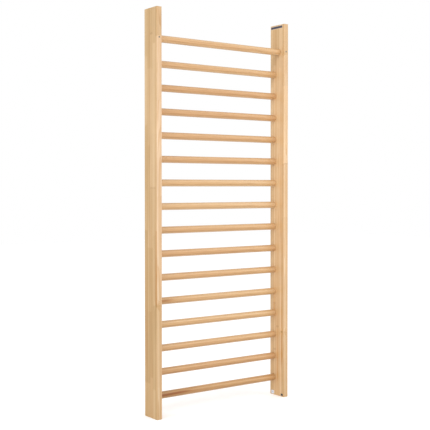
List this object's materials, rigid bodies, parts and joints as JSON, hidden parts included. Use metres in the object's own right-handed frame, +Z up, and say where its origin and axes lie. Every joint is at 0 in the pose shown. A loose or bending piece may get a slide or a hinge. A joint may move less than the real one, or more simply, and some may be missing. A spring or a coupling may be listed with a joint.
{
  "type": "wall bars",
  "caption": "Tall wooden wall bars for gymnastics: two upright boards joined by evenly spaced round rungs, the top rung set forward of the rest.",
  "frame": {"origin": "on the floor, midway between the two boards' outer faces and midway through their depth", "axes": "+Z up the boards; X along the rungs, with +X towards the right board as the climber faces it; -Y is the climbing side and +Y the wall side"},
  "size_m": [1, 0.136, 2.4],
  "materials": {
    "board_wood": "satin clear lacquer over edge-glued, finger-jointed pine",
    "rung_wood": "satin clear lacquer over turned beech",
    "screw_steel": "plain zinc-plated steel, slightly dull",
    "label_dark": "blank printed film with a plain dark band",
    "label_pale": "blank white film"
  },
  "bodies": {
    "root": {"left_upright": "board_wood", "right_upright": "board_wood", "rung_01": "rung_wood", "rung_02": "rung_wood", "rung_03": "rung_wood", "rung_04": "rung_wood", "rung_05": "rung_wood", "rung_06": "rung_wood", "rung_07": "rung_wood", "rung_08": "rung_wood", "rung_09": "rung_wood", "rung_10": "rung_wood", "rung_11": "rung_wood", "rung_12": "rung_wood", "rung_13": "rung_wood", "rung_14": "rung_wood", "rung_15": "rung_wood", "rung_16": "rung_wood", "screw_left_01": "screw_steel", "screw_left_02": "screw_steel", "screw_left_03": "screw_steel", "screw_left_04": "screw_steel", "screw_left_05": "screw_steel", "screw_left_06": "screw_steel", "screw_left_07": "screw_steel", "screw_left_08": "screw_steel", "screw_left_09": "screw_steel", "screw_left_10": "screw_steel", "screw_left_11": "screw_steel", "screw_left_12": "screw_steel", "screw_left_13": "screw_steel", "screw_left_14": "screw_steel", "screw_left_15": "screw_steel", "screw_left_16": "screw_steel", "screw_right_01": "screw_steel", "screw_right_02": "screw_steel", "screw_right_03": "screw_steel", "screw_right_04": "screw_steel", "screw_right_05": "screw_steel", "screw_right_06": "screw_steel", "screw_right_07": "screw_steel", "screw_right_08": "screw_steel", "screw_right_09": "screw_steel", "screw_right_10": "screw_steel", "screw_right_11": "screw_steel", "screw_right_12": "screw_steel", "screw_right_13": "screw_steel", "screw_right_14": "screw_steel", "screw_right_15": "screw_steel", "screw_right_16": "screw_steel", "label_top_band": "label_dark", "label_foot_white": "label_pale", "label_foot_dark": "label_dark"}
  },
  "joints": []
}
